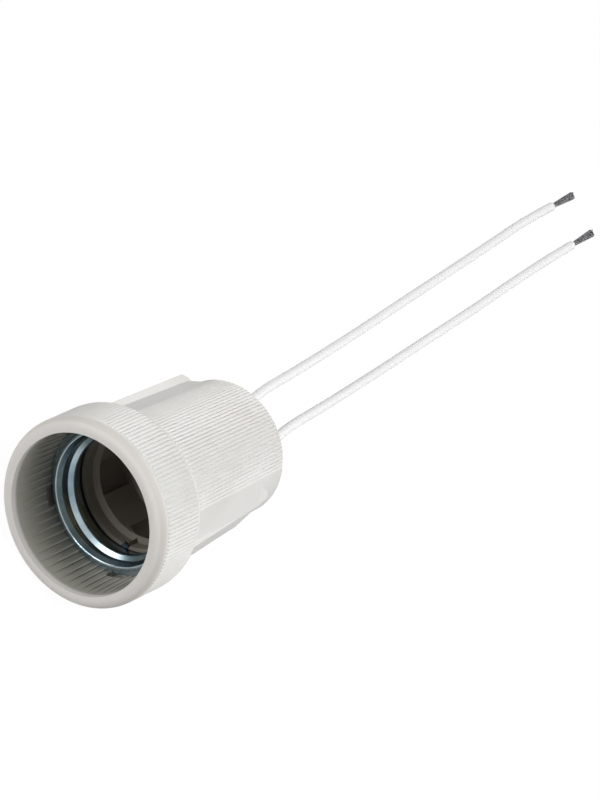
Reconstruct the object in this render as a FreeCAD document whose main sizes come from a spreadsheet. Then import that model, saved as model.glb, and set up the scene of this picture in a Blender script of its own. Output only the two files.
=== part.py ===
import FreeCAD, Part
import math
import os
import Sketcher

# Porcelain lamp holder with a screw shell, a sprung centre contact and two leads.
# The lamp axis is +Y from the open mouth to the rear face, the lugs point along X
# and +Z is up. Every sub-part is drawn about the lamp axis with y = 0 at the lip,
# then set down so that the collar's lowest line touches z = 0.

os.makedirs("parts", exist_ok=True)
doc = FreeCAD.newDocument("lamp_holder")
V = FreeCAD.Vector

# ---------------------------------------------------------------- dimensions
d = doc.addObject("Spreadsheet::Sheet", "d")
SIZES = [
    ("body_length", 50.5),
    ("lip_wall", 2.9),
    ("lip_inner_round", 0.7),
    ("lip_flat", 0.1),
    ("channel_width", 0.9),
    ("channel_depth", 0.28),
    ("shoulder_y", 14.0),
    ("shoulder_radius", 4.4),
    ("neck_y", 16.9),
    ("neck_radius", 4.2),
    ("barrel_wall", 3.75),
    ("barrel_draft", 1.05),
    ("rear_edge_round", 0.4),
    ("cup_taper", 0.5),
    ("cup_depth", 12.5),
    ("flange_clearance", 0.3),
    ("seat_clearance", 0.2),
    ("seat_depth", 18.9),
    ("seat_ledge", 1.4),
    ("throat_length", 2.6),
    ("cavity_step", 1.0),
    ("cavity_depth", 32.5),
    ("recess_depth", 1.6),
    ("recess_sweep", 36.0),
    ("notch_width", 4.0),
    ("notch_land", 0.8),
    ("notch_undercut", 0.9),
    ("notch_drop", 2.0),
    ("collar_flutes", 144),
    ("collar_flute_depth", 0.3),
    ("barrel_flutes", 120),
    ("barrel_flute_depth", 0.32),
    ("barrel_flute_start", 1.5),
    ("smooth_half_angle", 37.0),
    ("lug_land_width", 8.0),
    ("lug_overlap", 1.0),
    ("left_lug_inset", 2.7),
    ("left_lug_front_height", 2.2),
    ("left_lug_rear_height", 2.5),
    ("left_lug_runout", 1.2),
    ("left_lug_drop", 1.3),
    ("right_lug_inset", 8.1),
    ("right_lug_front_height", 1.95),
    ("right_lug_rear_height", 0.8),
    ("right_lug_runout", 4.1),
    ("shell_sheet", 0.4),
    ("shell_radius", 13.8),
    ("shell_bead_height", 1.5),
    ("shell_bead_offset", 0.3),
    ("shell_bead_width", 0.8),
    ("shell_bead_round", 0.3),
    ("shell_flare_drop", 0.1),
    ("shell_flange_width", 2.3),
    ("lamp_thread_pitch", 3.629),
    ("lamp_thread_depth", 1.05),
    ("lamp_thread_crest_width", 1.1),
    ("lamp_thread_root_width", 2.9),
    ("lamp_thread_round", 0.5),
    ("lamp_thread_inset", 1.0),
    ("lamp_thread_end_gap", 0.15),
    ("rivet_spacing", 12.0),
    ("rivet_radius", 1.1),
    ("rivet_hole_clearance", 0.05),
    ("rivet_head_radius", 2.1),
    ("rivet_head_height", 0.8),
    ("rivet_tail_radius", 1.8),
    ("rivet_tail_height", 0.7),
    ("wiring_depth", 12.5),
    ("strap_sheet", 0.5),
    ("strap_width", 3.6),
    ("strap_offset", 0.2),
    ("strap_clearance", 0.3),
    ("strap_tongue_width", 0.7),
    ("strap_slot_clearance", 0.1),
    ("shell_tab_width", 1.2),
    ("shell_tab_height", 1.5),
    ("strap_bend", 0.9),
    ("contact_sheet", 0.4),
    ("contact_width", 5.0),
    ("contact_clearance", 0.3),
    ("contact_foot", 2.2),
    ("contact_rise", 5.9),
    ("contact_tip_reach", 2.6),
    ("contact_curl", 1.6),
    ("terminal_sheet", 0.5),
    ("terminal_radius", 2.6),
    ("crimp_radius", 1.55),
    ("crimp_gap", 0.5),
    ("crimp_length", 4.0),
    ("lead_radius", 1.05),
    ("lead_spacing", 9.2),
    ("lead_clearance", 0.05),
    ("lead_stop", 1.3),
    ("wiring_bore_radius", 3.2),
    ("seal_length", 4.5),
    ("seal_recess", 0.3),
    ("seal_clearance", 0.02),
    ("strand_root_radius", 0.5),
    ("strand_tip_radius", 0.9),
    ("strand_length", 10.4),
]
for row, (alias, value) in enumerate(SIZES, start=1):
    d.set("A%d" % row, alias)
    d.set("B%d" % row, str(value))
    d.setAlias("B%d" % row, alias)

# Sizes that follow from others, so that each fit is written once.
DERIVED = [
    ("shell_bore", "shell_radius - shell_sheet"),
    ("shell_flange_radius", "shell_radius + shell_flange_width"),
    ("shell_bead_inner", "shell_radius + shell_bead_offset"),
    ("shell_bead_outer", "shell_bead_inner + shell_bead_width"),
    ("shell_bead_front", "cup_depth - shell_bead_height"),
    ("shell_flare_y", "cup_depth + shell_flare_drop"),
    ("lamp_thread_crest", "shell_bore - lamp_thread_depth"),
    ("lamp_thread_start", "cup_depth + lamp_thread_inset"),
    ("lamp_thread_end", "seat_depth - shell_sheet - lamp_thread_end_gap"),
    ("lamp_thread_rise", "lamp_thread_end - lamp_thread_root_width / 2 - lamp_thread_start"),
    ("cup_floor_radius", "shell_flange_radius + flange_clearance"),
    ("mouth_radius", "cup_floor_radius + cup_taper"),
    ("collar_radius", "mouth_radius + lip_wall"),
    ("lip_outer_round", "lip_wall - lip_inner_round - lip_flat"),
    ("collar_flute_end", "shoulder_y - 0.5"),
    ("barrel_flute_front", "neck_y + barrel_flute_start"),
    ("seat_radius", "shell_radius + seat_clearance"),
    ("throat_radius", "seat_radius - seat_ledge"),
    ("throat_depth", "seat_depth + throat_length"),
    ("cavity_radius", "throat_radius - cavity_step"),
    ("recess_radius", "cavity_radius + recess_depth"),
    ("recess_front", "throat_depth + cavity_step"),
    ("barrel_front_radius", "cavity_radius + barrel_wall"),
    ("barrel_rear_radius", "barrel_front_radius - barrel_draft"),
    ("shoulder_drop", "collar_radius - barrel_front_radius"),
    ("shoulder_run", "neck_y - shoulder_y"),
    ("shoulder_slope", "sqrt(shoulder_drop ^ 2 + shoulder_run ^ 2)"),
    ("shoulder_half_turn", "(shoulder_slope - shoulder_run) / shoulder_drop"),
    ("round_room", "0.95 * shoulder_slope / shoulder_half_turn"),
    ("round_share", "min(1; round_room / (shoulder_radius + neck_radius))"),
    ("shoulder_round", "shoulder_radius * round_share"),
    ("neck_round", "neck_radius * round_share"),
    ("notch_inner", "seat_radius + notch_land"),
    ("notch_outer", "cup_floor_radius + notch_undercut"),
    ("barrel_slope", "(barrel_front_radius - barrel_rear_radius) / (body_length - neck_y)"),
    ("lug_front", "shoulder_y - lug_overlap"),
    ("left_lug_end", "body_length - left_lug_inset"),
    ("right_lug_end", "body_length - right_lug_inset"),
    ("barrel_at_left_end", "barrel_front_radius - barrel_slope * (left_lug_end - neck_y)"),
    ("barrel_at_right_end", "barrel_front_radius - barrel_slope * (right_lug_end - neck_y)"),
    ("left_lug_front_reach", "barrel_front_radius + left_lug_front_height"),
    ("left_lug_rear_reach", "barrel_rear_radius + left_lug_rear_height"),
    ("right_lug_front_reach", "barrel_front_radius + right_lug_front_height"),
    ("right_lug_rear_reach", "barrel_rear_radius + right_lug_rear_height"),
    ("rivet_x", "rivet_spacing / 2"),
    ("lead_x", "lead_spacing / 2"),
    ("wiring_floor", "body_length - wiring_depth"),
    ("rivet_hole", "rivet_radius + rivet_hole_clearance"),
    ("strap_centre_x", "rivet_x - strap_offset"),
    ("strap_edge_x", "strap_centre_x + strap_width / 2"),
    ("strap_drop", "sqrt(recess_radius ^ 2 - strap_edge_x ^ 2) - strap_clearance"),
    ("contact_rear", "cavity_depth - contact_clearance"),
    ("contact_front", "contact_rear - contact_sheet"),
    ("contact_tip_depth", "cavity_depth - contact_rise"),
    ("tail_front", "wiring_floor + terminal_sheet"),
    ("crimp_front", "tail_front + rivet_tail_height + crimp_gap"),
    ("lead_start", "crimp_front + lead_stop"),
    ("seal_rear", "body_length - seal_recess"),
]
for row, (alias, formula) in enumerate(DERIVED, start=len(SIZES) + 2):
    d.set("A%d" % row, alias)
    d.set("B%d" % row, "=" + formula)
    d.setAlias("B%d" % row, alias)
doc.recompute()


def size(alias):
    """Value of a named cell."""
    return float(d.get(alias))


# ---------------------------------------------------------------- helpers
def plane(body, role):
    """One of the body's own origin planes."""
    return next(part for part in body.Origin.OriginFeatures if part.Role == role)


def new_body(name):
    body = doc.addObject("PartDesign::Body", name)
    body.Label = name
    return body


def seat(item):
    """Move a finished sub-part from the lamp axis to its place above the floor."""
    item.setExpression("Placement.Base.y", "-d.body_length / 2")
    item.setExpression("Placement.Base.z", "d.collar_radius")
    return item


def new_sketch(body, name, role, along=None):
    """A sketch on an origin plane, moved along the plane's normal if asked."""
    sketch = body.newObject("Sketcher::SketchObject", name)
    sketch.AttachmentSupport = [(plane(body, role), "")]
    sketch.MapMode = "FlatFace"
    if along:
        sketch.setExpression("AttachmentOffset.Base.z", along)
    return sketch


def tie(sketch, kind, items, label, formula, guess):
    """Add one dimension to a sketch and bind it to the sheet."""
    index = sketch.addConstraint(Sketcher.Constraint(kind, *items, guess))
    sketch.renameConstraint(index, label)
    sketch.setExpression("Constraints." + label, formula)


def outline(sketch, corners, rounds=None):
    """Close a straight-sided profile through corners given as formulas.

    rounds maps a corner's number to the formula of its rounding radius.
    """
    count = len(corners)
    turn = 2 * math.pi / count
    spots = [V(10 * math.cos(i * turn), 10 * math.sin(i * turn), 0) for i in range(count)]
    for i in range(count):
        sketch.addGeometry(Part.LineSegment(spots[i], spots[(i + 1) % count]))
    for i in range(count):
        sketch.addConstraint(Sketcher.Constraint("Coincident", i, 2, (i + 1) % count, 1))
    for i, (across, along) in enumerate(corners):
        tie(sketch, "DistanceX", (-1, 1, i, 1), "x%d" % i, across, spots[i].x)
        tie(sketch, "DistanceY", (-1, 1, i, 1), "y%d" % i, along, spots[i].y)
    doc.recompute()
    for corner, alias in (rounds or {}).items():
        sketch.fillet(corner, 1, size(alias), True, True)
        arc = max(k for k, g in enumerate(sketch.Geometry) if isinstance(g, Part.ArcOfCircle))
        tie(sketch, "Radius", (arc,), "round%d" % corner, "d." + alias, size(alias))
    doc.recompute()
    return sketch


def ring(sketch, across, along, radius, label):
    """Add a circle to a sketch."""
    index = sketch.addGeometry(Part.Circle(V(1, 1, 0), V(0, 0, 1), 1))
    tie(sketch, "DistanceX", (-1, 1, index, 3), label + "_x", across, 1)
    tie(sketch, "DistanceY", (-1, 1, index, 3), label + "_y", along, 1)
    tie(sketch, "Radius", (index,), label + "_r", radius, 1)
    return index


def turned(body, name, corners, rounds=None, kind="PartDesign::Revolution"):
    """Revolve an (r, y) profile about the lamp axis."""
    profile = outline(new_sketch(body, name + "_profile", "XY_Plane"), corners, rounds)
    feature = body.newObject(kind, name)
    feature.Profile = profile
    feature.ReferenceAxis = (profile, ["V_Axis"])
    feature.Angle = 360
    doc.recompute()
    return feature


def pad(body, name, sketch, length, symmetric=False, kind="PartDesign::Pad", back=False):
    feature = body.newObject(kind, name)
    feature.Profile = sketch
    feature.setExpression("Length", length)
    feature.Midplane = symmetric
    feature.Reversed = back
    doc.recompute()
    return feature


# ---------------------------------------------------------------- porcelain casting
blank = new_body("porcelain_blank")
turned(
    blank,
    "casting",
    [
        ("0", "0"),
        ("d.collar_radius", "0"),
        ("d.collar_radius", "d.shoulder_y"),
        ("d.barrel_front_radius", "d.neck_y"),
        ("d.barrel_rear_radius", "d.body_length"),
        ("0", "d.body_length"),
    ],
    {1: "lip_outer_round", 2: "shoulder_round", 3: "neck_round", 4: "rear_edge_round"},
)


def lug_section(name, along, side, barrel, reach, land):
    """Section of a lug: two ramps tangent to the barrel and a raised flat land.

    The sketch lies across the lamp axis, with X to the lug and Z up.
    """
    half = "d.lug_land_width / 2"
    angle = "d.smooth_half_angle * 1deg"
    ramp = "(%s - %s * sin(%s)) / cos(%s)" % (barrel, half, angle, angle)
    out = [
        ("(%s) * cos(%s)" % (barrel, angle), "(%s) * sin(%s)" % (barrel, angle)),
        (ramp, half),
        (reach, half) if land else (ramp + " + 0.02", half),
    ]
    lower = [(across, "-(%s)" % up) for across, up in reversed(out)]
    core = [("d.cavity_radius - 2", "-d.lug_land_width / 2"), ("d.cavity_radius - 2", half)]
    sign = "" if side > 0 else "-"
    corners = [("%s(%s)" % (sign, across), up) for across, up in out + lower + core]
    return outline(new_sketch(blank, name, "XZ_Plane", "-(%s)" % along), corners)


def lug_part(name, front, rear):
    loft = blank.newObject("PartDesign::AdditiveLoft", name)
    loft.Profile = front
    loft.Sections = [rear]
    loft.Ruled = True
    doc.recompute()


barrel_front = "d.barrel_front_radius"
lug_part(
    "left_lug",
    lug_section("left_lug_front_section", "d.lug_front", -1, barrel_front,
                "d.left_lug_front_reach", True),
    lug_section("left_lug_rear_section", "d.left_lug_end", -1, "d.barrel_at_left_end",
                "d.left_lug_rear_reach", True),
)
lug_part(
    "left_lug_tip",
    lug_section("left_tip_front_section", "d.left_lug_end", -1, "d.barrel_at_left_end",
                "d.left_lug_rear_reach", True),
    lug_section("left_tip_rear_section", "d.left_lug_end + d.left_lug_runout", -1,
                "d.barrel_at_left_end - 0.3", "d.left_lug_rear_reach - d.left_lug_drop", True),
)
lug_part(
    "right_lug",
    lug_section("right_lug_front_section", "d.lug_front", 1, barrel_front,
                "d.right_lug_front_reach", True),
    lug_section("right_lug_rear_section", "d.right_lug_end", 1, "d.barrel_at_right_end",
                "d.right_lug_rear_reach", True),
)
lug_part(
    "right_lug_slope",
    lug_section("right_slope_front_section", "d.right_lug_end", 1, "d.barrel_at_right_end",
                "d.right_lug_rear_reach", True),
    lug_section("right_slope_rear_section", "d.right_lug_end + d.right_lug_runout", 1,
                "d.barrel_at_right_end - 0.7", "0", False),
)

turned(
    blank,
    "cup_and_cavity",
    [
        ("0", "-1"),
        ("d.mouth_radius", "-1"),
        ("d.mouth_radius", "0"),
        ("d.cup_floor_radius", "d.cup_depth"),
        ("d.seat_radius", "d.cup_depth"),
        ("d.seat_radius", "d.seat_depth"),
        ("d.throat_radius", "d.seat_depth"),
        ("d.throat_radius", "d.throat_depth"),
        ("d.cavity_radius", "d.throat_depth + d.cavity_step"),
        ("d.cavity_radius", "d.cavity_depth"),
        ("0", "d.cavity_depth"),
    ],
    kind="PartDesign::Groove",
)
turned(
    blank,
    "collar_channel",
    [
        ("d.collar_radius", "d.lip_outer_round"),
        ("d.collar_radius - d.channel_depth", "d.lip_outer_round + d.channel_width / 3"),
        ("d.collar_radius - d.channel_depth", "d.lip_outer_round + d.channel_width * 2 / 3"),
        ("d.collar_radius", "d.lip_outer_round + d.channel_width"),
        ("d.collar_radius + 1", "d.lip_outer_round + d.channel_width"),
        ("d.collar_radius + 1", "d.lip_outer_round"),
    ],
    kind="PartDesign::Groove",
)

# Two wiring bores from the rear, and the rivet holes that join them to the cavity.
bores = new_sketch(blank, "wiring_bore_circles", "XZ_Plane", "-d.body_length")
ring(bores, "d.rivet_x", "0", "d.wiring_bore_radius", "right")
ring(bores, "-d.rivet_x", "0", "d.wiring_bore_radius", "left")
pad(blank, "wiring_bores", bores, "d.body_length - d.wiring_floor", kind="PartDesign::Pocket",
    back=True)
holes = new_sketch(blank, "rivet_hole_circles", "XZ_Plane", "-d.wiring_floor")
ring(holes, "d.rivet_x", "0", "d.rivet_hole", "right")
ring(holes, "-d.rivet_x", "0", "d.rivet_hole", "left")
pad(blank, "rivet_holes", holes, "d.wiring_floor - d.cavity_depth", kind="PartDesign::Pocket", back=True)
doc.recompute()


def flute_ring(radius, count, depth, start=0.0, sweep=360.0):
    """Zigzag of flute bottoms and crests about the lamp axis, as (x, z) pairs."""
    pitch = 360.0 / count
    steps = int(round(sweep / pitch))
    first = start + (sweep - steps * pitch) / 2
    pairs = []
    for i in range(steps):
        for share, reach in ((0.0, radius), (0.5, radius - depth)):
            angle = math.radians(first + (i + share) * pitch)
            pairs.append((reach * math.cos(angle), reach * math.sin(angle)))
    if sweep < 360.0:
        angle = math.radians(first + steps * pitch)
        pairs.append((radius * math.cos(angle), radius * math.sin(angle)))
    return pairs


def wire_at(pairs, along):
    return Part.makePolygon([V(x, along, z) for x, z in pairs + pairs[:1]])


def collar_flute_cutter():
    """Sleeve whose bore is fluted; cutting it away leaves the collar's fine ribs."""
    front = size("lip_outer_round") + size("channel_width") / 2
    length = size("collar_flute_end") - front
    outside = Part.Circle(V(0, front, 0), V(0, 1, 0), size("collar_radius") + 3).toShape()
    crest = size("collar_radius") + 0.03
    pairs = flute_ring(crest, int(size("collar_flutes")), size("collar_flute_depth"))
    inner = Part.Face(wire_at(pairs, front)).extrude(V(0, length, 0))
    outer = Part.Face(Part.Wire(outside)).extrude(V(0, length, 0))
    return outer.cut(inner)


def barrel_flute_cutter(side):
    """Sector with a fluted inner side that follows the barrel's taper."""
    smooth = size("smooth_half_angle")
    slope = size("barrel_slope")
    front = size("barrel_flute_front")
    rear = size("body_length") + 1.0
    wires = []
    for along in (front, rear):
        radius = size("barrel_front_radius") - slope * (along - size("neck_y")) + 0.02
        pairs = flute_ring(radius, int(size("barrel_flutes")), size("barrel_flute_depth"),
                           smooth, 180.0 - 2 * smooth)
        last, first = pairs[-1], pairs[0]
        pairs.append((last[0] * 1.25, last[1] * 1.25))
        pairs.append((0.0, radius * 1.6))
        pairs.append((first[0] * 1.25, first[1] * 1.25))
        wires.append(wire_at([(x, side * z) for x, z in pairs], along))
    return Part.makeLoft(wires, True, True)


cutters = []
for name, shape in (
    ("collar_flutes", collar_flute_cutter()),
    ("upper_barrel_flutes", barrel_flute_cutter(1)),
    ("lower_barrel_flutes", barrel_flute_cutter(-1)),
):
    cutter = doc.addObject("Part::Feature", name)
    cutter.Shape = shape
    cutters.append(cutter)

# Two recesses in the cavity's lower wall; the right one holds the strap.
for name, angle in (("right_recess", -50.0), ("left_recess", -130.0)):
    recess = doc.addObject("Part::Cylinder", name)
    recess.setExpression("Radius", "d.recess_radius")
    recess.setExpression("Height", "d.cavity_depth - d.recess_front")
    recess.setExpression("Angle", "d.recess_sweep")
    turn = FreeCAD.Rotation(V(0, 1, 0), -angle - size("recess_sweep") / 2)
    recess.Placement = FreeCAD.Placement(V(0, 0, 0), turn * FreeCAD.Rotation(V(1, 0, 0), -90))
    recess.setExpression("Placement.Base.y", "d.recess_front")
    cutters.append(recess)

# A slot behind the throat lets the strap's tongue up to the shell.
slot = doc.addObject("Part::Box", "strap_slot")
slot.setExpression("Length", "d.strap_tongue_width + 2 * d.strap_slot_clearance")
slot.setExpression("Width", "d.recess_front - d.seat_depth + 1")
slot.setExpression("Height", "d.strap_sheet + 2 * d.strap_slot_clearance")
slot.setExpression("Placement.Base.x", "d.strap_edge_x - d.strap_tongue_width - d.strap_slot_clearance")
slot.setExpression("Placement.Base.y", "d.seat_depth")
slot.setExpression("Placement.Base.z", "-d.strap_drop - d.strap_slot_clearance")
cutters.append(slot)

# Four notches in the cup's floor, which key the shell's flange.
for name, angle in (("notch_1", 54.0), ("notch_2", 135.0), ("notch_3", 234.0), ("notch_4", 315.0)):
    notch = doc.addObject("Part::Box", name)
    notch.setExpression("Length", "d.notch_outer - d.notch_inner")
    notch.setExpression("Width", "d.notch_drop + 1.5")
    notch.setExpression("Height", "d.notch_width")
    turn = FreeCAD.Rotation(V(0, 1, 0), -angle)
    notch.Placement = FreeCAD.Placement(V(0, 0, 0), turn)
    c, s = math.cos(math.radians(angle)), math.sin(math.radians(angle))
    notch.setExpression("Placement.Base.x", "d.notch_inner * %.6f + d.notch_width / 2 * %.6f" % (c, s))
    notch.setExpression("Placement.Base.z", "d.notch_inner * %.6f - d.notch_width / 2 * %.6f" % (s, c))
    notch.setExpression("Placement.Base.y", "d.cup_depth - 1.5")
    cutters.append(notch)

waste = doc.addObject("Part::MultiFuse", "porcelain_waste")
waste.Shapes = cutters
porcelain = doc.addObject("Part::Cut", "porcelain_body")
porcelain.Base = blank
porcelain.Tool = waste
seat(porcelain)

# ---------------------------------------------------------------- screw shell
shell = new_body("screw_shell")
turned(
    shell,
    "rolled_sleeve",
    [
        ("d.shell_bore", "d.seat_depth"),
        ("d.shell_bore", "d.shell_flare_y - d.shell_sheet"),
        ("d.shell_bead_inner", "d.shell_bead_front"),
        ("d.shell_bead_outer", "d.shell_bead_front"),
        ("d.shell_bead_outer + 0.2", "d.cup_depth - d.shell_sheet"),
        ("d.shell_flange_radius", "d.cup_depth - d.shell_sheet"),
        ("d.shell_flange_radius", "d.cup_depth"),
        ("d.shell_bead_outer - 0.2", "d.cup_depth"),
        ("(d.shell_bead_inner + d.shell_bead_outer) / 2", "d.shell_bead_front + d.shell_sheet"),
        ("d.shell_radius", "d.shell_flare_y"),
        ("d.shell_radius", "d.seat_depth"),
    ],
    {2: "shell_bead_round", 3: "shell_bead_round"},
)

# The lamp thread is rolled into the sleeve as a rounded ridge on the inside.
ridge_section = new_sketch(shell, "lamp_thread_section", "XY_Plane")
ridge_section.AttachmentOffset = FreeCAD.Placement(V(0, 0, 0), FreeCAD.Rotation(V(0, 1, 0), -60))
outline(
    ridge_section,
    [
        ("d.shell_bore + d.shell_sheet / 2", "d.lamp_thread_start - d.lamp_thread_root_width / 2"),
        ("d.lamp_thread_crest", "d.lamp_thread_start - d.lamp_thread_crest_width / 2"),
        ("d.lamp_thread_crest", "d.lamp_thread_start + d.lamp_thread_crest_width / 2"),
        ("d.shell_bore + d.shell_sheet / 2", "d.lamp_thread_start + d.lamp_thread_root_width / 2"),
    ],
    {1: "lamp_thread_round", 2: "lamp_thread_round"},
)
ridge = shell.newObject("PartDesign::AdditiveHelix", "lamp_thread")
ridge.Profile = ridge_section
ridge.ReferenceAxis = (ridge_section, ["V_Axis"])
ridge.Mode = "pitch-height-angle"
ridge.setExpression("Pitch", "d.lamp_thread_pitch")
ridge.setExpression("Height", "d.lamp_thread_rise")
doc.recompute()
# A tab on the sleeve's rear edge meets the strap's tongue.
tab = new_sketch(shell, "shell_tab_outline", "XZ_Plane", "-d.seat_depth")
outline(
    tab,
    [
        ("d.strap_edge_x", "-d.strap_drop + d.strap_sheet"),
        ("d.strap_edge_x - d.shell_tab_width", "-d.strap_drop + d.strap_sheet"),
        ("d.strap_edge_x - d.shell_tab_width", "-d.strap_drop + d.strap_sheet - d.shell_tab_height"),
        ("d.strap_edge_x", "-d.strap_drop + d.strap_sheet - d.shell_tab_height"),
    ],
)
pad(shell, "shell_tab", tab, "d.shell_sheet")
seat(shell)
doc.recompute()

# ---------------------------------------------------------------- strap and contact
# The strap runs from the shell's end ring down a recess and under the right rivet.
strap = new_body("shell_strap")
strap_side = new_sketch(strap, "strap_side", "YZ_Plane", "d.strap_centre_x")
outline(
    strap_side,
    [
        ("d.recess_front + d.strap_slot_clearance", "-d.strap_drop"),
        ("d.cavity_depth", "-d.strap_drop"),
        ("d.cavity_depth", "d.rivet_head_radius + 0.4"),
        ("d.cavity_depth - d.strap_sheet", "d.rivet_head_radius + 0.4"),
        ("d.cavity_depth - d.strap_sheet", "-d.strap_drop + d.strap_sheet"),
        ("d.recess_front + d.strap_slot_clearance", "-d.strap_drop + d.strap_sheet"),
    ],
    {4: "strap_bend"},
)
pad(strap, "strap_strip", strap_side, "d.strap_width", True)
tongue_face = new_sketch(strap, "tongue_section", "XZ_Plane", "-d.seat_depth")
outline(
    tongue_face,
    [
        ("d.strap_edge_x", "-d.strap_drop"),
        ("d.strap_edge_x", "-d.strap_drop + d.strap_sheet"),
        ("d.strap_edge_x - d.strap_tongue_width", "-d.strap_drop + d.strap_sheet"),
        ("d.strap_edge_x - d.strap_tongue_width", "-d.strap_drop"),
    ],
)
pad(strap, "strap_tongue", tongue_face, "d.recess_front - d.seat_depth + 0.5", back=True)
strap_hole = new_sketch(strap, "strap_rivet_circle", "XZ_Plane", "-d.cavity_depth")
ring(strap_hole, "d.rivet_x", "0", "d.rivet_hole", "rivet")
pad(strap, "strap_rivet_hole", strap_hole, "d.strap_sheet * 3", kind="PartDesign::Pocket", back=True)
seat(strap)

# The contact's foot swings on the left rivet; its leaf reaches the lamp axis.
contact = new_body("centre_contact")
contact_side = new_sketch(contact, "contact_side", "XY_Plane")
outline(
    contact_side,
    [
        ("-d.rivet_x - d.contact_foot", "d.contact_rear"),
        ("-d.rivet_x - d.contact_foot", "d.contact_front"),
        ("-d.rivet_x + d.contact_foot", "d.contact_front"),
        ("-d.contact_tip_reach / 2", "d.contact_tip_depth"),
        ("d.contact_tip_reach / 2", "d.contact_tip_depth"),
        ("d.contact_tip_reach", "d.contact_tip_depth + d.contact_curl"),
        ("d.contact_tip_reach - d.contact_sheet", "d.contact_tip_depth + d.contact_curl"),
        ("d.contact_tip_reach / 2 - d.contact_sheet / 2", "d.contact_tip_depth + d.contact_sheet"),
        ("-d.contact_tip_reach / 2 + d.contact_sheet / 2", "d.contact_tip_depth + d.contact_sheet"),
        ("-d.rivet_x + d.contact_foot + d.contact_sheet / 2", "d.contact_rear"),
    ],
)
pad(contact, "contact_leaf", contact_side, "d.contact_width", True)
contact_hole = new_sketch(contact, "contact_rivet_circle", "XZ_Plane", "-d.contact_rear - 0.1")
ring(contact_hole, "-d.rivet_x", "0", "d.rivet_radius + d.contact_clearance", "rivet")
pad(contact, "contact_rivet_hole", contact_hole, "d.contact_sheet + 0.2",
    kind="PartDesign::Pocket", back=True)
seat(contact)


# ---------------------------------------------------------------- rivets and terminals
def rivet(name, across, head_front):
    """Headed rivet through the porcelain floor, its tail set over the terminal."""
    body = new_body(name)
    levels = [
        ("head", "d.rivet_head_radius", head_front, "d.rivet_head_height"),
        ("shank", "d.rivet_radius", head_front, "d.tail_front - (%s) + 0.1" % head_front),
        ("tail", "d.rivet_tail_radius", "d.tail_front", "d.rivet_tail_height"),
    ]
    for part, radius, front, length in levels:
        circle = new_sketch(body, part + "_circle_" + name, "XZ_Plane", "-(%s)" % front)
        ring(circle, across, "0", radius, "at")
        pad(body, part + "_" + name, circle, length, back=True)
    return seat(body)


contact_head = "d.contact_front - d.contact_clearance - d.rivet_head_height"
strap_head = "d.cavity_depth - d.strap_sheet - d.rivet_head_height"
rivet("contact_rivet", "-d.rivet_x", contact_head)
rivet("shell_rivet", "d.rivet_x", strap_head)


def terminal(name, side):
    """Ring tongue under the rivet tail, with a neck to a crimp barrel on the lead."""
    body = new_body(name)
    sign = "" if side > 0 else "-"
    tongue = new_sketch(body, "tongue_" + name, "XZ_Plane", "-d.wiring_floor")
    ring(tongue, sign + "d.rivet_x", "0", "d.terminal_radius", "edge")
    ring(tongue, sign + "d.rivet_x", "0", "d.rivet_hole", "hole")
    pad(body, "tongue_pad_" + name, tongue, "d.terminal_sheet", back=True)
    near = "%s(d.lead_x - d.crimp_radius)" % sign
    far = "%s(d.lead_x - d.crimp_radius + d.terminal_sheet)" % sign
    neck = new_sketch(body, "neck_" + name, "XZ_Plane", "-d.wiring_floor")
    outline(neck, [(near, "-1"), (far, "-1"), (far, "1"), (near, "1")])
    pad(body, "neck_pad_" + name, neck, "d.crimp_front - d.wiring_floor + 1", back=True)
    barrel = new_sketch(body, "crimp_" + name, "XZ_Plane", "-d.crimp_front")
    ring(barrel, sign + "d.lead_x", "0", "d.crimp_radius", "outer")
    pad(body, "crimp_pad_" + name, barrel, "d.crimp_length", back=True)
    bore = new_sketch(body, "crimp_bore_" + name, "XZ_Plane", "-d.crimp_front + 0.1")
    ring(bore, sign + "d.lead_x", "0", "d.lead_radius + d.lead_clearance", "inner")
    pad(body, "crimp_hole_" + name, bore, "d.crimp_length + 0.2", kind="PartDesign::Pocket")
    return seat(body)


terminal("contact_terminal", -1)
terminal("shell_terminal", 1)


def seal(name, side):
    """Cement plug that closes a wiring bore round its lead."""
    body = new_body(name)
    sign = "" if side > 0 else "-"
    disc = new_sketch(body, "disc_" + name, "XZ_Plane", "-d.seal_rear + d.seal_length")
    ring(disc, sign + "d.rivet_x", "0", "d.wiring_bore_radius - d.seal_clearance", "edge")
    ring(disc, sign + "d.lead_x", "0", "d.lead_radius + d.lead_clearance", "lead")
    pad(body, "plug_" + name, disc, "d.seal_length", back=True)
    return seat(body)


seal("contact_seal", -1)
seal("shell_seal", 1)


def conductor(name, across):
    """Stripped end of a lead, held in its crimp barrel in front of the insulation."""
    core = doc.addObject("Part::Cylinder", name)
    core.setExpression("Radius", "d.strand_root_radius")
    core.setExpression("Height", "d.lead_stop + d.crimp_gap / 2")
    core.Placement = FreeCAD.Placement(V(0, 0, 0), FreeCAD.Rotation(V(1, 0, 0), -90))
    core.setExpression("Placement.Base.x", across)
    core.setExpression("Placement.Base.y", "d.crimp_front - d.crimp_gap / 2 - d.body_length / 2")
    core.setExpression("Placement.Base.z", "d.collar_radius")


conductor("conductor_left", "-d.lead_x")
conductor("conductor_right", "d.lead_x")

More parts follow.
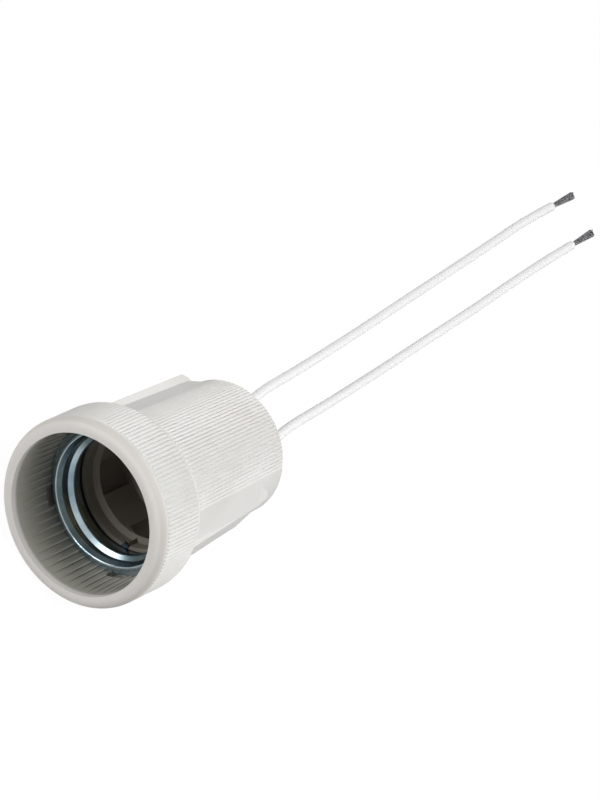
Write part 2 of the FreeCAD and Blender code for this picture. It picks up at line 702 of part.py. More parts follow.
# ---------------------------------------------------------------- leads
# Route points from inside the wiring bore to the end of the insulation. The first
# two run straight through the seal; the rest sink to the surface and lie on it.
LEFT_ROUTE = [
    (57.0, -4.6, 0.0), (74.7, -8.1, -3.5), (94.2, -10.9, -9.0), (114.9, -13.1, -14.0),
    (135.5, -15.0, -17.4), (155.8, -17.0, -18.75), (177.0, -18.1, -18.75),
    (198.0, -20.3, -18.75), (216.0, -22.4, -18.75), (228.5, -24.0, -18.75),
]
RIGHT_ROUTE = [
    (57.0, 4.6, 0.0), (74.3, 1.6, -3.2), (94.6, -0.7, -8.6), (115.4, -2.7, -13.6),
    (135.2, -5.1, -17.2), (155.3, -6.5, -18.75), (177.0, -7.9, -18.75),
    (197.0, -10.2, -18.75), (213.0, -11.9, -18.75), (225.5, -13.0, -18.75),
]


def route(points, side):
    """Vector route of a lead, from its start inside the crimp barrel."""
    start = V(side * size("lead_x"), size("lead_start"), 0)
    return [start] + [V(x, y, z) for y, x, z in points]


def rounded_path(points, name):
    """Straight runs joined by tangent arcs that are as large as the runs allow."""
    edges = []
    radii = []
    at = points[0]
    for before, corner, after in zip(points, points[1:], points[2:]):
        back = before - corner
        ahead = after - corner
        shorter = min(back.Length, ahead.Length)
        turn = math.pi - back.getAngle(ahead)
        reach = 0.45 * shorter
        radii.append(reach / math.tan(turn / 2))
        back.normalize()
        ahead.normalize()
        enter = corner + back * reach
        leave = corner + ahead * reach
        middle = (back + ahead).normalize()
        centre_gap = radii[-1] / math.cos(turn / 2)
        crown = corner + middle * (centre_gap - radii[-1])
        edges.append(Part.LineSegment(at, enter).toShape())
        edges.append(Part.Arc(enter, crown, leave).toShape())
        at = leave
    edges.append(Part.LineSegment(at, points[-1]).toShape())
    print(name, "radii", [round(radius, 1) for radius in radii])
    return Part.Wire(edges)


def lead(name, points):
    """Round insulated lead swept along its route."""
    path = rounded_path(points, name)
    along = points[1] - points[0]
    section = Part.Circle(points[0], along, size("lead_radius")).toShape()
    solid = path.makePipeShell([Part.Wire(section)], True, False)
    expected = math.pi * size("lead_radius") ** 2 * path.Length
    print(name, "length", round(path.Length, 2), "volume ratio", round(solid.Volume / expected, 4))
    item = doc.addObject("Part::Feature", name)
    item.Shape = solid
    return seat(item)


def strands(name, points):
    """Bare twisted strands beyond the insulation, as a plain flaring cone."""
    item = doc.addObject("Part::Cone", name)
    item.setExpression("Radius1", "d.strand_root_radius")
    item.setExpression("Radius2", "d.strand_tip_radius")
    item.setExpression("Height", "d.strand_length")
    turn = FreeCAD.Rotation(V(0, 0, 1), points[-1] - points[-2])
    item.Placement = FreeCAD.Placement(points[-1], turn)
    item.setExpression("Placement.Base.y", "%.6f - d.body_length / 2" % points[-1].y)
    item.setExpression("Placement.Base.z", "d.collar_radius + %.6f" % points[-1].z)
    return item


left_points = route(LEFT_ROUTE, -1)
right_points = route(RIGHT_ROUTE, 1)
lead("lead_left", left_points)
lead("lead_right", right_points)
strands("strands_left", left_points)
strands("strands_right", right_points)
doc.recompute()

# ---------------------------------------------------------------- check and export
NODES = [
    "porcelain_body", "screw_shell", "shell_strap", "centre_contact", "contact_rivet",
    "shell_rivet", "contact_terminal", "shell_terminal", "contact_seal", "shell_seal",
    "conductor_left", "conductor_right",
    "lead_left", "lead_right", "strands_left", "strands_right",
]
for item in doc.Objects:
    if "Invalid" in item.State or "Error" in item.State:
        raise RuntimeError("failed feature: " + item.Name)
for node in NODES:
    shape = doc.getObject(node).Shape
    if shape.isNull() or not shape.isValid() or not shape.Solids:
        raise RuntimeError("bad shape: " + node)
    doc.getObject(node).Label = node
    shape.exportStep("parts/%s.step" % node)
    box = shape.BoundBox
    print("%-18s %10.3f mm3  solids %d  faces %d  z %.2f..%.2f" % (
        node, shape.Volume, len(shape.Solids), len(shape.Faces), box.ZMin, box.ZMax))
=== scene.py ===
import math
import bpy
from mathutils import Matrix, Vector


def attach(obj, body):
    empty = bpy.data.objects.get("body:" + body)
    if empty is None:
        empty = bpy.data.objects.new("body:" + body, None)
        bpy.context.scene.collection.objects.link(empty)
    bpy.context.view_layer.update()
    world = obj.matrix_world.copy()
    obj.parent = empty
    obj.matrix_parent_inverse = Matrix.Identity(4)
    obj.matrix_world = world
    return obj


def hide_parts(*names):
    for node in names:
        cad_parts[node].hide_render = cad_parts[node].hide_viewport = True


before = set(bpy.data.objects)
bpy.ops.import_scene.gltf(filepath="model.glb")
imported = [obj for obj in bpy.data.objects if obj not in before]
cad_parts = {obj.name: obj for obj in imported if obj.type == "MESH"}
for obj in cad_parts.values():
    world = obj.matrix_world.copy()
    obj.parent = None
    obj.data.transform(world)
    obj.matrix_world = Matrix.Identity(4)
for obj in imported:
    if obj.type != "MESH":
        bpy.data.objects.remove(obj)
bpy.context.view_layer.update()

# %% [markdown]
# # A porcelain lamp holder with two silicone leads
# The holder is a fluted porcelain body with a rolled steel screw shell inside
# and two white leads behind. The solid model has already fixed every size and
# place, so this lesson only dresses it. It lays the leads as smooth curves, adds
# the twisted wire ends and the fine ridges of the cup, and gives every part its
# finish.

AXIS_HEIGHT = 0.0198      # the holder lies on its collar, so its axis is this high
LIP = -0.02525            # where the porcelain begins, along Y
print("nodes:", ", ".join(sorted(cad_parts)))

# %% [markdown]
# ## The camera
# A long lens from a metre away keeps the cup's rim close to a true ellipse and
# the two leads close to parallel. The camera stands in front and above and is
# rolled by about 47 degrees, which makes the leads run up to the right. A roll is
# easiest to give as a matrix: three directions for the camera's right, up and
# back, and then its place.

# %% Set up the camera
CAMERA_PLACE = Vector((0.1591, -0.7754, 0.6496))
VIEW_DIRECTION = Vector((-0.153, 0.787, -0.597)).normalized()
CAMERA_ROLL = math.radians(46.98)
LENS_MM = 226.26
SENSOR_MM = 36

camera_data = bpy.data.cameras.new("camera")
camera_data.lens = LENS_MM
camera_data.sensor_width = SENSOR_MM
camera_data.clip_end = 10
camera = bpy.data.objects.new("camera", camera_data)
bpy.context.scene.collection.objects.link(camera)
level = VIEW_DIRECTION.cross(Vector((0, 0, 1))).normalized()
upright = level.cross(VIEW_DIRECTION)
up = upright * math.cos(CAMERA_ROLL) - level * math.sin(CAMERA_ROLL)
right = level * math.cos(CAMERA_ROLL) + upright * math.sin(CAMERA_ROLL)
turned = Matrix((right, up, -VIEW_DIRECTION)).transposed()
camera.matrix_world = Matrix.Translation(CAMERA_PLACE) @ turned.to_4x4()
bpy.context.scene.camera = camera
print("camera", [round(v, 3) for v in camera.location], "lens", camera_data.lens)

# %% [markdown]
# ## Two leads
# A lead is one fixed length of bendy, heat-proof wire, so it is drawn as a curve
# and not as a row of tubes. A NURBS spline passes smoothly near its control
# points, so eleven points give the slow sag from the rear face down to the
# table. The order and the end setting are set after the points, or the spline
# stays straight. The bevel turns the line into a tube. Blender measures a
# curve's box from the radius of its points, so each point has the insulation's
# radius and the bevel only multiplies it by one.

# %% Lay the two leads
LEAD_DIAMETER = 0.0021
RESTING = LEAD_DIAMETER / 2      # the height of a lead's middle on the table
LEFT_ROUTE = [
    (-0.0046, 0.01575, AXIS_HEIGHT), (-0.0046, 0.03175, AXIS_HEIGHT),
    (-0.0084, 0.04945, 0.0163), (-0.0106, 0.06895, 0.0108),
    (-0.0130, 0.08965, 0.0058), (-0.0153, 0.11025, 0.0024),
    (-0.0175, 0.13055, RESTING), (-0.0195, 0.15175, RESTING),
    (-0.0215, 0.17275, RESTING), (-0.0234, 0.19075, RESTING),
    (-0.0239, 0.20325, RESTING),
]
RIGHT_ROUTE = [
    (0.0046, 0.01575, AXIS_HEIGHT), (0.0046, 0.03175, AXIS_HEIGHT),
    (0.0012, 0.04905, 0.0166), (-0.0009, 0.06935, 0.0112),
    (-0.0032, 0.09015, 0.0062), (-0.0053, 0.10995, 0.0026),
    (-0.0073, 0.13005, RESTING), (-0.0091, 0.15175, RESTING),
    (-0.0111, 0.17175, RESTING), (-0.0125, 0.18775, RESTING),
    (-0.0133, 0.20025, RESTING),
]


def spline_along(name, route):
    """A curve of one NURBS spline with the route's points as control points."""
    curve = bpy.data.curves.new(name, "CURVE")
    curve.dimensions = "3D"
    curve.resolution_u = 40
    spline = curve.splines.new("NURBS")
    spline.points.add(len(route) - 1)
    for point, place in zip(spline.points, route):
        point.co = (*place, 1)
        point.radius = LEAD_DIAMETER / 2
    spline.order_u = 3
    spline.use_endpoint_u = True
    spline.use_smooth = True
    lead = bpy.data.objects.new(name, curve)
    bpy.context.scene.collection.objects.link(lead)
    return lead


def line_of(lead):
    """The points of a curve's own line, read before it has a bevel."""
    bpy.context.view_layer.update()
    line = bpy.data.meshes.new_from_object(lead)
    points = [vertex.co.copy() for vertex in line.vertices]
    bpy.data.meshes.remove(line)
    return points


leads, lead_lines = {}, {}
for side, route in (("left", LEFT_ROUTE), ("right", RIGHT_ROUTE)):
    lead = spline_along("insulated_lead_" + side, route)
    lead_lines[side] = line_of(lead)
    lead.data.bevel_depth = 1.0      # times each point's radius
    lead.data.bevel_resolution = 10
    lead.data.use_fill_caps = True
    leads[side] = lead
    run = sum((b - a).length for a, b in zip(lead_lines[side], lead_lines[side][1:]))
    print(lead.name, "is", round(1000 * run, 1), "mm long")

# %% [markdown]
# ## Helpers for modelling
# An operator acts on everything that is selected, so each step first selects
# just what it needs. These helpers do that, apply a piece's modifiers, join
# pieces and count triangles. Joining also puts the piece's place into its mesh
# and leaves its object at the origin, as the solid model's nodes are.

# %% Select, apply, join and count
def deselect():
    if bpy.context.object and bpy.context.object.mode == "EDIT":
        bpy.ops.object.mode_set(mode="OBJECT")
    bpy.ops.object.select_all(action="DESELECT")


def use(*objects):
    """Selects these objects alone and makes the first one active."""
    deselect()
    for item in objects:
        item.select_set(True)
    bpy.context.view_layer.objects.active = objects[0]


def apply_modifiers(item):
    use(item)
    for modifier in list(item.modifiers):
        bpy.ops.object.modifier_apply(modifier=modifier.name)


def join(name, parts):
    """Joins parts into one object whose place is in its mesh."""
    use(*parts)
    bpy.ops.object.join()
    joined = bpy.context.object
    joined.name = name
    joined.data.name = name
    bpy.ops.object.transform_apply(location=True, rotation=True, scale=True)
    return joined


def triangles(item):
    return sum(len(face.vertices) - 2 for face in item.data.polygons)


print("the porcelain has", triangles(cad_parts["porcelain_body"]), "triangles")

# %% [markdown]
# ## Twisted wire ends
# The insulation is stripped for about ten millimetres, and the bare strands
# are twisted and have sprung open a little. One strand is a small circle
# that the Screw modifier sweeps into a steep spiral, and that the Simple Deform
# modifier widens towards the tip. A row of straight rods would be simpler, but
# it wouldn't catch the light as a twist does. The modifier sweeps only the
# circle's edge, so a strand is a tube that is open at both ends, one against
# the insulation and one at the cut.

# %% Model one strand
STRAND_RADIUS = 0.000105
STRAND_SIDES = 8
STRIPPED = 0.0100
TWIST = math.radians(300)
TWIST_STEPS = 22
FLARE = 0.85              # the share by which the bundle widens to its tip


def one_strand(distance, length, turn):
    """A strand whose circle starts this far from the bundle's middle."""
    deselect()
    bpy.ops.mesh.primitive_circle_add(
        vertices=STRAND_SIDES, radius=STRAND_RADIUS, fill_type="NGON",
        location=(distance, 0, 0)
    )
    strand = bpy.context.object
    bpy.ops.object.transform_apply(location=True)
    sweep = strand.modifiers.new("spiral", "SCREW")
    sweep.angle = TWIST * length / STRIPPED
    sweep.screw_offset = length
    sweep.steps = sweep.render_steps = TWIST_STEPS
    sweep.use_smooth_shade = True
    flare = strand.modifiers.new("flare", "SIMPLE_DEFORM")
    flare.deform_method = "TAPER"
    flare.deform_axis = "Z"
    flare.factor = FLARE
    apply_modifiers(strand)
    strand.rotation_euler = (0, 0, turn)
    bpy.ops.object.transform_apply(rotation=True)
    return strand


probe = one_strand(2 * STRAND_RADIUS, STRIPPED, 0)
print("one strand:", triangles(probe), "triangles, spans",
      [round(1000 * v, 2) for v in probe.dimensions], "mm")
bpy.data.objects.remove(probe)

# %% [markdown]
# The bundle is one strand in the middle, a ring of six and a ring of twelve, with
# neighbours touching or nearly so. A real cut is never even, so the strands
# differ in length by a fraction of a millimetre, worked out from their number
# so that each run is the same.

# %% Gather the strands into two bundles
RINGS = [(1, 0.0), (6, 2 * STRAND_RADIUS), (12, 4 * STRAND_RADIUS)]
RAGGED = 0.0006           # the most by which a strand is cut short


def bundle(name, start, direction):
    """Nineteen strands twisted together, leaving start in direction."""
    strands = []
    for ring, (count, distance) in enumerate(RINGS):
        for number in range(count):
            shorter = RAGGED * ((number * 5 + ring * 3) % 7) / 6
            turn = math.tau * number / count
            strands.append(one_strand(distance, STRIPPED - shorter, turn))
    whole = join(name, strands)
    facing = Vector((0, 0, 1)).rotation_difference(direction)
    whole.matrix_world = Matrix.Translation(start) @ facing.to_matrix().to_4x4()
    use(whole)
    bpy.ops.object.transform_apply(location=True, rotation=True, scale=True)
    return whole


bundles = {}
for side, points in lead_lines.items():
    direction = (points[-1] - points[-3]).normalized()
    bundles[side] = bundle("stripped_strands_" + side, points[-1], direction)
    print(bundles[side].name, triangles(bundles[side]), "triangles")

# %% [markdown]
# ## What the leads are
# The solid model has each lead as a plain tube and each bare end as a plain
# cone. The curves and the bundles replace them and ride on the same body, and
# the solid model's tubes and cones are hidden. A lead's bare strands go wherever
# the lead goes.

# %% Put the leads and their strands on the holder's body
for side in ("left", "right"):
    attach(leads[side], "holder")
    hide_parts("lead_" + side)
    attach(bundles[side], "holder")
    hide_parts("strands_" + side)
print("cords declared:", [lead.name for lead in leads.values()])

# %% [markdown]
# ## Fine ridges inside the cup
# The wall of the cup carries sixty fine ridges, pressed with the porcelain, that
# run from the cup's floor and die away before the lip. One ridge is an
# eight-sided rod, sunk into the wall so that only its crown shows. Its front end
# is extruded twice, forwards and outwards, so that it sinks into the wall. A
# bump in the material would be quicker, but it wouldn't show against the rim.
# Where a keying notch cuts the floor, the ridges stop above it.

# %% Model one ridge
WALL_AT_LIP, WALL_AT_FLOOR = 0.0169, 0.0164      # radii of the cup's wall
FLOOR_DEPTH = 0.0125                             # depths are measured from the lip
NOTCH_TOP = 0.0108
FULL_DEPTH, FADE_DEPTH = 0.0055, 0.0016          # full height, and gone
RIDGE_SIDES = 8
RIDGE_RADIUS = 0.00026
RIDGE_PROUD = 0.00024                            # how far a crown stands out
SINKING = (0.00012, 0.00024)                     # outwards, in each extrusion
STRAIGHT_ON = 0.9


def wall_radius(depth):
    return WALL_AT_LIP + (WALL_AT_FLOOR - WALL_AT_LIP) * depth / FLOOR_DEPTH


def one_ridge(deep_end):
    """A ridge on the wall's +X side, from its deep end to where it fades."""
    deselect()
    middle = LIP + (deep_end + FULL_DEPTH) / 2
    bpy.ops.mesh.primitive_cylinder_add(
        vertices=RIDGE_SIDES, radius=RIDGE_RADIUS, depth=deep_end - FULL_DEPTH,
        end_fill_type="NGON", rotation=(math.pi / 2, 0, 0), location=(0, middle, 0),
    )
    ridge = bpy.context.object
    bpy.ops.object.transform_apply(location=True, rotation=True)
    for vertex in ridge.data.vertices:
        depth = deep_end if vertex.co.y > middle else FULL_DEPTH
        vertex.co.x += wall_radius(depth) - RIDGE_PROUD + RIDGE_RADIUS
    bpy.ops.object.mode_set(mode="EDIT")
    bpy.ops.mesh.select_all(action="DESELECT")
    bpy.ops.object.mode_set(mode="OBJECT")
    for face in ridge.data.polygons:
        face.select = face.normal.y < -STRAIGHT_ON
    bpy.ops.object.mode_set(mode="EDIT")
    for outwards in SINKING:
        bpy.ops.mesh.extrude_region_move(TRANSFORM_OT_translate={
            "value": (outwards, (FADE_DEPTH - FULL_DEPTH) / 2, 0)})
    bpy.ops.object.mode_set(mode="OBJECT")
    return ridge


long_ridge, short_ridge = one_ridge(FLOOR_DEPTH), one_ridge(NOTCH_TOP)
print("one ridge:", triangles(long_ridge), "triangles, spans",
      [round(1000 * v, 2) for v in long_ridge.dimensions], "mm")

# %% [markdown]
# Each ridge round the wall is a copy with its own mesh, turned about the
# holder's axis. The short one stands wherever a notch is near. All sixty are
# joined at the end, because they belong to one pressed surface.

# %% Copy it round the wall
RIDGES = 60
NOTCHES = (54, 135, 234, 315)      # in degrees round the axis
NOTCH_REACH = 9                    # degrees to either side
SOFT_EDGE = math.radians(50)

copies = []
for number in range(RIDGES):
    angle = (number + 0.5) * 360 / RIDGES
    over_notch = any(abs(angle - notch) < NOTCH_REACH for notch in NOTCHES)
    source = short_ridge if over_notch else long_ridge
    ridge = source.copy()
    ridge.data = source.data.copy()
    ridge.matrix_world = (Matrix.Translation((0, 0, AXIS_HEIGHT))
                          @ Matrix.Rotation(-math.radians(angle), 4, "Y"))
    bpy.context.scene.collection.objects.link(ridge)
    copies.append(ridge)
for source in (long_ridge, short_ridge):
    bpy.data.objects.remove(source)
cup_ridges = join("cup_ridges", copies)
bpy.ops.object.shade_smooth_by_angle(angle=SOFT_EDGE)
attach(cup_ridges, "holder")
print("cup_ridges:", triangles(cup_ridges), "triangles")

# %% [markdown]
# ## Writing finishes as sums
# A procedural finish is a sum: a pattern times an amount, plus a colour. Joining
# Math nodes by hand for that is slow to write and hard to read. The small class
# below wraps a node's output, so that `grain * 0.03 + 0.6` adds the Math nodes by
# itself. Every other node comes from one method, which takes the node's kind,
# its settings and the values or links of its sockets.

# %% The wire, and the bench that it is joined on
class Wire:
    """One output of a node, which can be calculated with."""

    def __init__(self, bench, socket):
        self.bench, self.socket = bench, socket

    def maths(self, operation, *values):
        return self.bench.node("ShaderNodeMath", {"operation": operation}, *values)

    def __add__(self, other):
        return self.maths("ADD", self, other)

    def __sub__(self, other):
        return self.maths("SUBTRACT", self, other)

    def __rsub__(self, other):
        return self.maths("SUBTRACT", other, self)

    def __mul__(self, other):
        return self.maths("MULTIPLY", self, other)

    def __pow__(self, other):
        return self.maths("POWER", self, other)

    __radd__, __rmul__ = __add__, __mul__


class Bench:
    """A node tree at work, to which every node is added by one method."""

    def __init__(self, tree):
        self.tree = tree

    def feed(self, socket, value):
        if isinstance(value, Wire):
            self.tree.links.new(value.socket, socket)
        else:
            socket.default_value = value

    def node(self, kind, settings=None, *values, output=0, sockets=None):
        """Adds a node, sets it up and gives back one of its outputs."""
        node = self.tree.nodes.new(kind)
        for name, value in (settings or {}).items():
            setattr(node, name, value)
        for place, value in list(enumerate(values)) + list((sockets or {}).items()):
            self.feed(node.inputs[place], value)
        return Wire(self, node.outputs[output])


print("a wire understands + - * and **, from either side but for **")

# %% [markdown]
# A finish is a node tree with one Principled shader. Its patterns are placed by
# Object coordinates, in metres, so that a grain has the same size on every
# piece and stays put when a piece moves.

# %% Describe a finish
class Finish(Bench):
    """A material with one Principled shader."""

    def __init__(self, name, **constants):
        self.material = bpy.data.materials.new(name)
        self.material.use_nodes = True
        super().__init__(self.material.node_tree)
        self.shader = self.tree.nodes["Principled BSDF"]
        for socket, value in constants.items():
            self.feed(self.shader.inputs[socket.replace("_", " ")], value)

    def place(self):
        return self.node("ShaderNodeTexCoord", output="Object")

    def along(self, axis):
        """How far a point is along X, Y or Z, in metres."""
        return self.node("ShaderNodeSeparateXYZ", None, self.place(), output=axis)

    def axis_distance(self):
        """How far a point is from the holder's axis, in metres."""
        side = self.along("X")
        up = self.along("Z") - AXIS_HEIGHT
        return (side * side + up * up) ** 0.5

    def noise(self, scale, detail=2.0, stretch=(1, 1, 1)):
        """A soft random pattern around 0.5, with so many grains to the metre."""
        stretched = self.node("ShaderNodeMapping", None, sockets={
            "Vector": self.place(), "Scale": stretch})
        return self.node("ShaderNodeTexNoise", None, output="Fac", sockets={
            "Vector": stretched, "Scale": scale, "Detail": detail})

    def step(self, value, low, high):
        """0 below low, 1 above high and smooth between."""
        return self.node("ShaderNodeMapRange", {"interpolation_type": "SMOOTHSTEP"},
                         sockets={"Value": value, "From Min": low, "From Max": high})

    def blend(self, amount, first, second):
        """The first colour, turning into the second as amount goes to 1."""
        return self.node("ShaderNodeMix", {"data_type": "RGBA"}, output=2,
                         sockets={0: amount, 6: first, 7: second})

    def colour(self, wire):
        self.feed(self.shader.inputs["Base Color"], wire)

    def rough(self, wire):
        self.feed(self.shader.inputs["Roughness"], wire)

    def bump(self, height, depth):
        """Raises the surface by height, with 1 standing for depth metres."""
        normal = self.node("ShaderNodeBump", None, sockets={
            "Height": height, "Distance": depth, "Strength": 1.0})
        self.feed(self.shader.inputs["Normal"], normal)


def paint(finish, *names):
    """Gives CAD nodes or new pieces this finish."""
    for name in names:
        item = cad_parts.get(name) or bpy.data.objects[name]
        if item.material_slots:
            for slot in item.material_slots:
                slot.material = finish.material
        else:
            item.data.materials.append(finish.material)
    print(finish.material.name, "on", ", ".join(names))


print("pieces to paint:", len(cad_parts), "nodes and",
      ", ".join(item.name for item in (*leads.values(), *bundles.values(), cup_ridges)))

# %% [markdown]
# ## Unglazed porcelain
# Lamp holders are pressed from steatite, which stays matt and warm white. Its
# colour is nearly even, with faint clouds and a fine grain that catches the light.
# The lip is a little darker and pinker, and its rim is browner. The inside of
# the cup is painted browner and darker, and darker still towards its depth, as
# painted shade. One plain colour would look like plastic. The zones follow
# the distance from the lip and from the axis.

# %% Mix the clay's own colour
CLAY = (0.78, 0.772, 0.75, 1)
CLAY_CLOUD = (0.75, 0.74, 0.71, 1)
CLOUD_SCALE, GRAIN_SCALE = 90, 2600      # grains to the metre

porcelain = Finish("unglazed_porcelain")
clouds = porcelain.noise(CLOUD_SCALE, 3)
grain = porcelain.noise(GRAIN_SCALE, 2)
shade = porcelain.blend(porcelain.step(clouds, 0.42, 0.66), CLAY, CLAY_CLOUD)
depth = porcelain.along("Y") - LIP
distance = porcelain.axis_distance()
print("clay before its zones:", CLAY[:3], "clouded with", CLAY_CLOUD[:3])

# %% Colour the lip, paint shade into the cup, and paint the porcelain
LIP_CLAY = (0.68, 0.65, 0.62, 1)
RIM_CLAY = (0.48, 0.42, 0.36, 1)
# Painted shade: the inside of the cup, and darker still deep inside
SHADED_INSIDE_CLAY = (0.37, 0.36, 0.32, 1)
DEEP_SHADE_CLAY = (0.23, 0.205, 0.175, 1)
SPECK_CLAY = (0.45, 0.42, 0.38, 1)
LIP_FADES = (0.0004, 0.0021)             # depths between which a zone comes or goes
RIM_FADES = (0.0012, 0.0026)
INSIDE_STARTS = (0.0007, 0.0019)
CAVITY_NARROWS = (0.0128, 0.0138)
DEEP_STARTS = (0.0135, 0.0200)
INSIDE_ENDS = (0.0360, 0.0370)
RIM_EDGE = (0.0188, 0.0194)              # radii of the rim's outer edge
CUP_HOLLOW, CAVITY_HOLLOW = 0.01705, 0.01365      # radii just outside the walls
WALL_BLUR = 0.0002
GRAIN_WANDER = 0.0006                    # how far the grain moves the lip's edge

near_lip = 1 - porcelain.step(depth + grain * GRAIN_WANDER, *LIP_FADES)
shade = porcelain.blend(near_lip * 0.75, shade, LIP_CLAY)
rim = porcelain.step(distance, *RIM_EDGE) * (1 - porcelain.step(depth, *RIM_FADES))
shade = porcelain.blend(rim * 0.35, shade, RIM_CLAY)
narrowing = porcelain.step(depth, *CAVITY_NARROWS) * (CUP_HOLLOW - CAVITY_HOLLOW)
inside_shade = 1 - porcelain.step(distance - (CUP_HOLLOW - narrowing), 0.0, WALL_BLUR)
inside_shade = inside_shade * porcelain.step(depth, *INSIDE_STARTS)
inside_shade = inside_shade * (1 - porcelain.step(depth, *INSIDE_ENDS))
# Painted shade: the inside of the cup is darkened, and more so deep down.
shade = porcelain.blend(inside_shade, shade, SHADED_INSIDE_CLAY)
deep_shade = inside_shade * porcelain.step(depth, *DEEP_STARTS)
shade = porcelain.blend(deep_shade, shade, DEEP_SHADE_CLAY)
speck = porcelain.step(grain, 0.60, 0.74)
shade = porcelain.blend(speck * 0.10, shade, SPECK_CLAY)
porcelain.colour(shade)
porcelain.rough(0.58 + grain * 0.12)
porcelain.bump(grain * 0.7 + clouds * 0.3, 0.00006)
paint(porcelain, "porcelain_body")

# %% [markdown]
# The crowns of the ridges are painted paler than the wall between them, as a
# painted highlight, and the wall between them has the cup's painted shade. The
# distance from the axis tells a crown from its foot.

# %% Make the ridges' porcelain
CROWN_HIGHLIGHT_CLAY = (0.62, 0.60, 0.54, 1)
CROWN_FADES = (0.01625, 0.01660)         # radii from a crown to its foot

ridge_finish = Finish("ridge_porcelain", Roughness=0.55)
ridge_grain = ridge_finish.noise(GRAIN_SCALE, 2)
# Painted highlight on the crowns, over the cup's painted shade between them
crown_highlight = 1 - ridge_finish.step(ridge_finish.axis_distance() + ridge_grain * 0.0001, *CROWN_FADES)
ridge_finish.colour(ridge_finish.blend(crown_highlight, SHADED_INSIDE_CLAY, CROWN_HIGHLIGHT_CLAY))
ridge_finish.bump(ridge_grain, 0.00004)
paint(ridge_finish, "cup_ridges")

# %% [markdown]
# ## Plated steel
# The screw shell is thin steel with a bluish zinc plating, so it is fully
# metallic with a low roughness. The rolling leaves faint rings, which are a noise
# stretched round the axis. Metal shows its surroundings, and here those are the
# dark cup and the bright opening in front of it. The zinc's base colour is painted
# much darker than real plating, as painted shade for the dark surroundings that it
# reflects. The thread's ridge ends in a plain cut deep inside, which would shine
# as a spot, so from there on the steel is painted nearly black as shade. The strap
# that feeds the shell is bare, brownish steel, painted darker as shade.

# %% Make the shell's and the strap's steel
# Painted shade: both zinc colours are darker than real plating.
SHADED_ZINC, SHADED_STAINED_ZINC = (0.38, 0.46, 0.50, 1), (0.18, 0.26, 0.30, 1)
DEEP_SHADE_ZINC = (0.03, 0.035, 0.04, 1)
THREAD_ENDS = (0.0178, 0.0184)           # depths between which the steel turns to painted shade
ROUND_THE_AXIS = (0.05, 1, 0.05)
SHADED_STRAP_PALE, SHADED_STRAP_BROWN = (0.26, 0.235, 0.21, 1), (0.17, 0.15, 0.13, 1)

shell_steel = Finish("plated_steel", Metallic=1.0)
rings = shell_steel.noise(1500, 2, stretch=ROUND_THE_AXIS)
stain = shell_steel.noise(160, 3)
steel_tone = shell_steel.blend(shell_steel.step(stain, 0.35, 0.75), SHADED_ZINC, SHADED_STAINED_ZINC)
# Painted shade: the deep rear end of the shell is nearly black.
shaded_rear_end = shell_steel.step(shell_steel.along("Y") - LIP, *THREAD_ENDS)
shell_steel.colour(shell_steel.blend(shaded_rear_end, steel_tone, DEEP_SHADE_ZINC))
shell_steel.rough(0.17 + rings * 0.10 + stain * 0.06)
shell_steel.bump(rings, 0.00002)
paint(shell_steel, "screw_shell")

# Painted shade: the strap's brownish steel is darkened for the shade it lies in.
strap_steel = Finish("strap_steel", Metallic=1.0)
patina = strap_steel.noise(420, 3)
strap_steel.colour(strap_steel.blend(patina, SHADED_STRAP_PALE, SHADED_STRAP_BROWN))
strap_steel.rough(0.30 + patina * 0.2)
strap_steel.bump(patina, 0.00003)
paint(strap_steel, "shell_strap")

# %% [markdown]
# ## Brass, tin and cement
# The centre contact is spring brass, and its rivets are a little duller. The crimp
# terminals are tinned, and the seals round the leads are a pale cement,
# as dull as the porcelain. The three metals differ only in colour and gloss, so
# one function makes them all: a base colour, a noise that varies it and a
# roughness.

# %% Make the small parts' finishes
def metal(name, bright, dull, roughness):
    finish = Finish(name, Metallic=1.0)
    tone = finish.noise(500, 3)
    finish.colour(finish.blend(finish.step(tone, 0.35, 0.7), bright, dull))
    finish.rough(roughness + tone * 0.15)
    finish.bump(finish.noise(3000), 0.00001)
    return finish


contact_brass = metal("spring_brass", bright=(0.80, 0.58, 0.25, 1),
                      dull=(0.62, 0.42, 0.17, 1), roughness=0.20)
rivet_brass = metal("rivet_brass", bright=(0.70, 0.50, 0.22, 1),
                    dull=(0.50, 0.34, 0.15, 1), roughness=0.28)
tin = metal("tinned_brass", bright=(0.72, 0.71, 0.68, 1),
            dull=(0.55, 0.54, 0.50, 1), roughness=0.25)
paint(contact_brass, "centre_contact")
paint(rivet_brass, "contact_rivet", "shell_rivet")
paint(tin, "contact_terminal", "shell_terminal")

CEMENT, DARK_CEMENT = (0.66, 0.64, 0.59, 1), (0.52, 0.50, 0.45, 1)
cement = Finish("pale_cement", Roughness=0.85)
lumps = cement.noise(900, 4)
cement.colour(cement.blend(lumps, CEMENT, DARK_CEMENT))
cement.bump(lumps, 0.0002)
paint(cement, "contact_seal", "shell_seal")

# %% [markdown]
# ## Silicone and bare wire
# The insulation is soft white silicone with a low sheen. The bare strands are
# tinned copper. Their base colour is a dull grey, far darker than tin, as painted
# shade where they lie close together, and a fine noise darkens it further in
# places. The same wire is crimped inside the terminals.

# %% Make the leads' finishes
SILICONE, SILICONE_FILM = (0.96, 0.96, 0.96, 1), (0.93, 0.93, 0.93, 1)
SHADED_TIN, DARKER_STRAND_TONE = (0.20, 0.20, 0.21, 1), (0.04, 0.04, 0.045, 1)

silicone = Finish("white_silicone")
film = silicone.noise(60, 1)
silicone.colour(silicone.blend(film, SILICONE, SILICONE_FILM))
silicone.rough(0.58 + film * 0.10)
paint(silicone, leads["left"].name, leads["right"].name, "lead_left", "lead_right")

bare_wire = Finish("tinned_strands", Metallic=1.0)
strand_noise = bare_wire.noise(1800, 3)
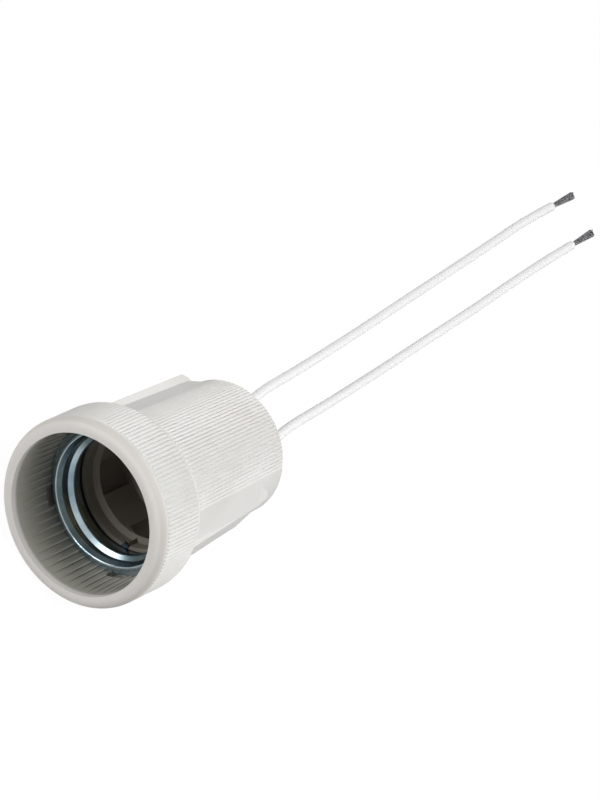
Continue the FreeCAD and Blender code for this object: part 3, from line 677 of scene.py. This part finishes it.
# Painted shade: the strands' grey is far darker than tin.
bare_wire.colour(bare_wire.blend(bare_wire.step(strand_noise, 0.35, 0.7), SHADED_TIN, DARKER_STRAND_TONE))
bare_wire.rough(0.32 + strand_noise * 0.2)
paint(bare_wire, bundles["left"].name, bundles["right"].name,
      "strands_left", "strands_right", "conductor_left", "conductor_right")

# %% [markdown]
# ## A white studio
# The holder lies on a white table in a white room. A bright room would also
# light the porcelain from every side and flatten it. So the world looks white
# only to the camera, in reflections and through glass, which the Light Path node
# tells apart, and gives a modest light itself. The porcelain keeps its shading
# and the cup stays dark inside.

# %% Build the world
WHITE = (1, 1, 1, 1)
AMBIENT = 0.08


def seen_white(bench):
    """1 where a ray comes from the camera, a reflection or through glass."""
    seen = bench.node("ShaderNodeLightPath", output="Is Camera Ray")
    for other in ("Is Glossy Ray", "Is Transmission Ray"):
        seen = seen.maths("MAXIMUM", seen, bench.node("ShaderNodeLightPath", output=other))
    return seen


world = bpy.data.worlds.new("studio")
world.use_nodes = True
bpy.context.scene.world = world
sky = Bench(world.node_tree)
background = sky.tree.nodes["Background"]
sky.feed(background.inputs["Color"], WHITE)
sky.feed(background.inputs["Strength"], sky.node("ShaderNodeMapRange", sockets={
    "Value": seen_white(sky), "To Min": AMBIENT, "To Max": 1.0}))
print("the world lights with", AMBIENT, "and looks white")

# %% [markdown]
# The table is grey as far as light is concerned, so that it doesn't light the
# porcelain from below. To the camera and in reflections it glows nearly white.
# The glow is mixed in only for the most part, so a soft shadow still shows.

# %% Lay the table
TABLE_SIZE = 8
TABLE_DROP = 0.0001       # keeps the table clear of the pieces that rest on it
TABLE_GREY = (0.6, 0.6, 0.6, 1)
TABLE_GLOW = 1.07
TABLE_WHITE = 0.90        # the glow's share

deselect()
bpy.ops.mesh.primitive_plane_add(size=TABLE_SIZE, location=(0, 0, -TABLE_DROP))
table = bpy.context.object
table.name = "studio_table"
table_finish = Finish("table_white", Base_Color=TABLE_GREY, Roughness=0.9)
glow = table_finish.node("ShaderNodeEmission", sockets={"Strength": TABLE_GLOW})
plain = Wire(table_finish, table_finish.shader.outputs[0])
mixed = table_finish.node(
    "ShaderNodeMixShader", None, seen_white(table_finish) * TABLE_WHITE, plain, glow)
surface = table_finish.tree.nodes["Material Output"].inputs["Surface"]
table_finish.feed(surface, mixed)
paint(table_finish, "studio_table")

# %% [markdown]
# Four soft lamps light the holder, all aimed at its middle. The key lamp hangs
# high above it. Two low ones stand in front and to the left, and light the
# collar's side and the inside of the cup. The fourth stands behind and keeps the
# rear face from going grey. They are square and large, as
# soft boxes are, so that no edge of a shadow is hard.

# %% Hang the lamps
LAMP_TARGET = Vector((0, 0.02, 0.02))


def soft_lamp(name, place, size, watts):
    """A square lamp that faces the holder."""
    light = bpy.data.lights.new(name, "AREA")
    light.size = size
    light.energy = watts
    lamp = bpy.data.objects.new(name, light)
    bpy.context.scene.collection.objects.link(lamp)
    lamp.location = place
    aim = LAMP_TARGET - lamp.location
    lamp.rotation_euler = aim.to_track_quat("-Z", "Y").to_euler()
    print(name, "gives", watts, "W from", place)


soft_lamp("key_lamp", (0.48, -0.10, 1.12), 0.6, 11.5)
soft_lamp("left_lamp", (-0.92, -0.72, 0.28), 0.6, 4.6)
soft_lamp("front_lamp", (-0.45, -1.15, 0.10), 0.5, 4.6)
soft_lamp("back_lamp", (0.25, 1.30, 0.45), 0.6, 4.5)
bpy.context.scene.view_settings.view_transform = "Standard"
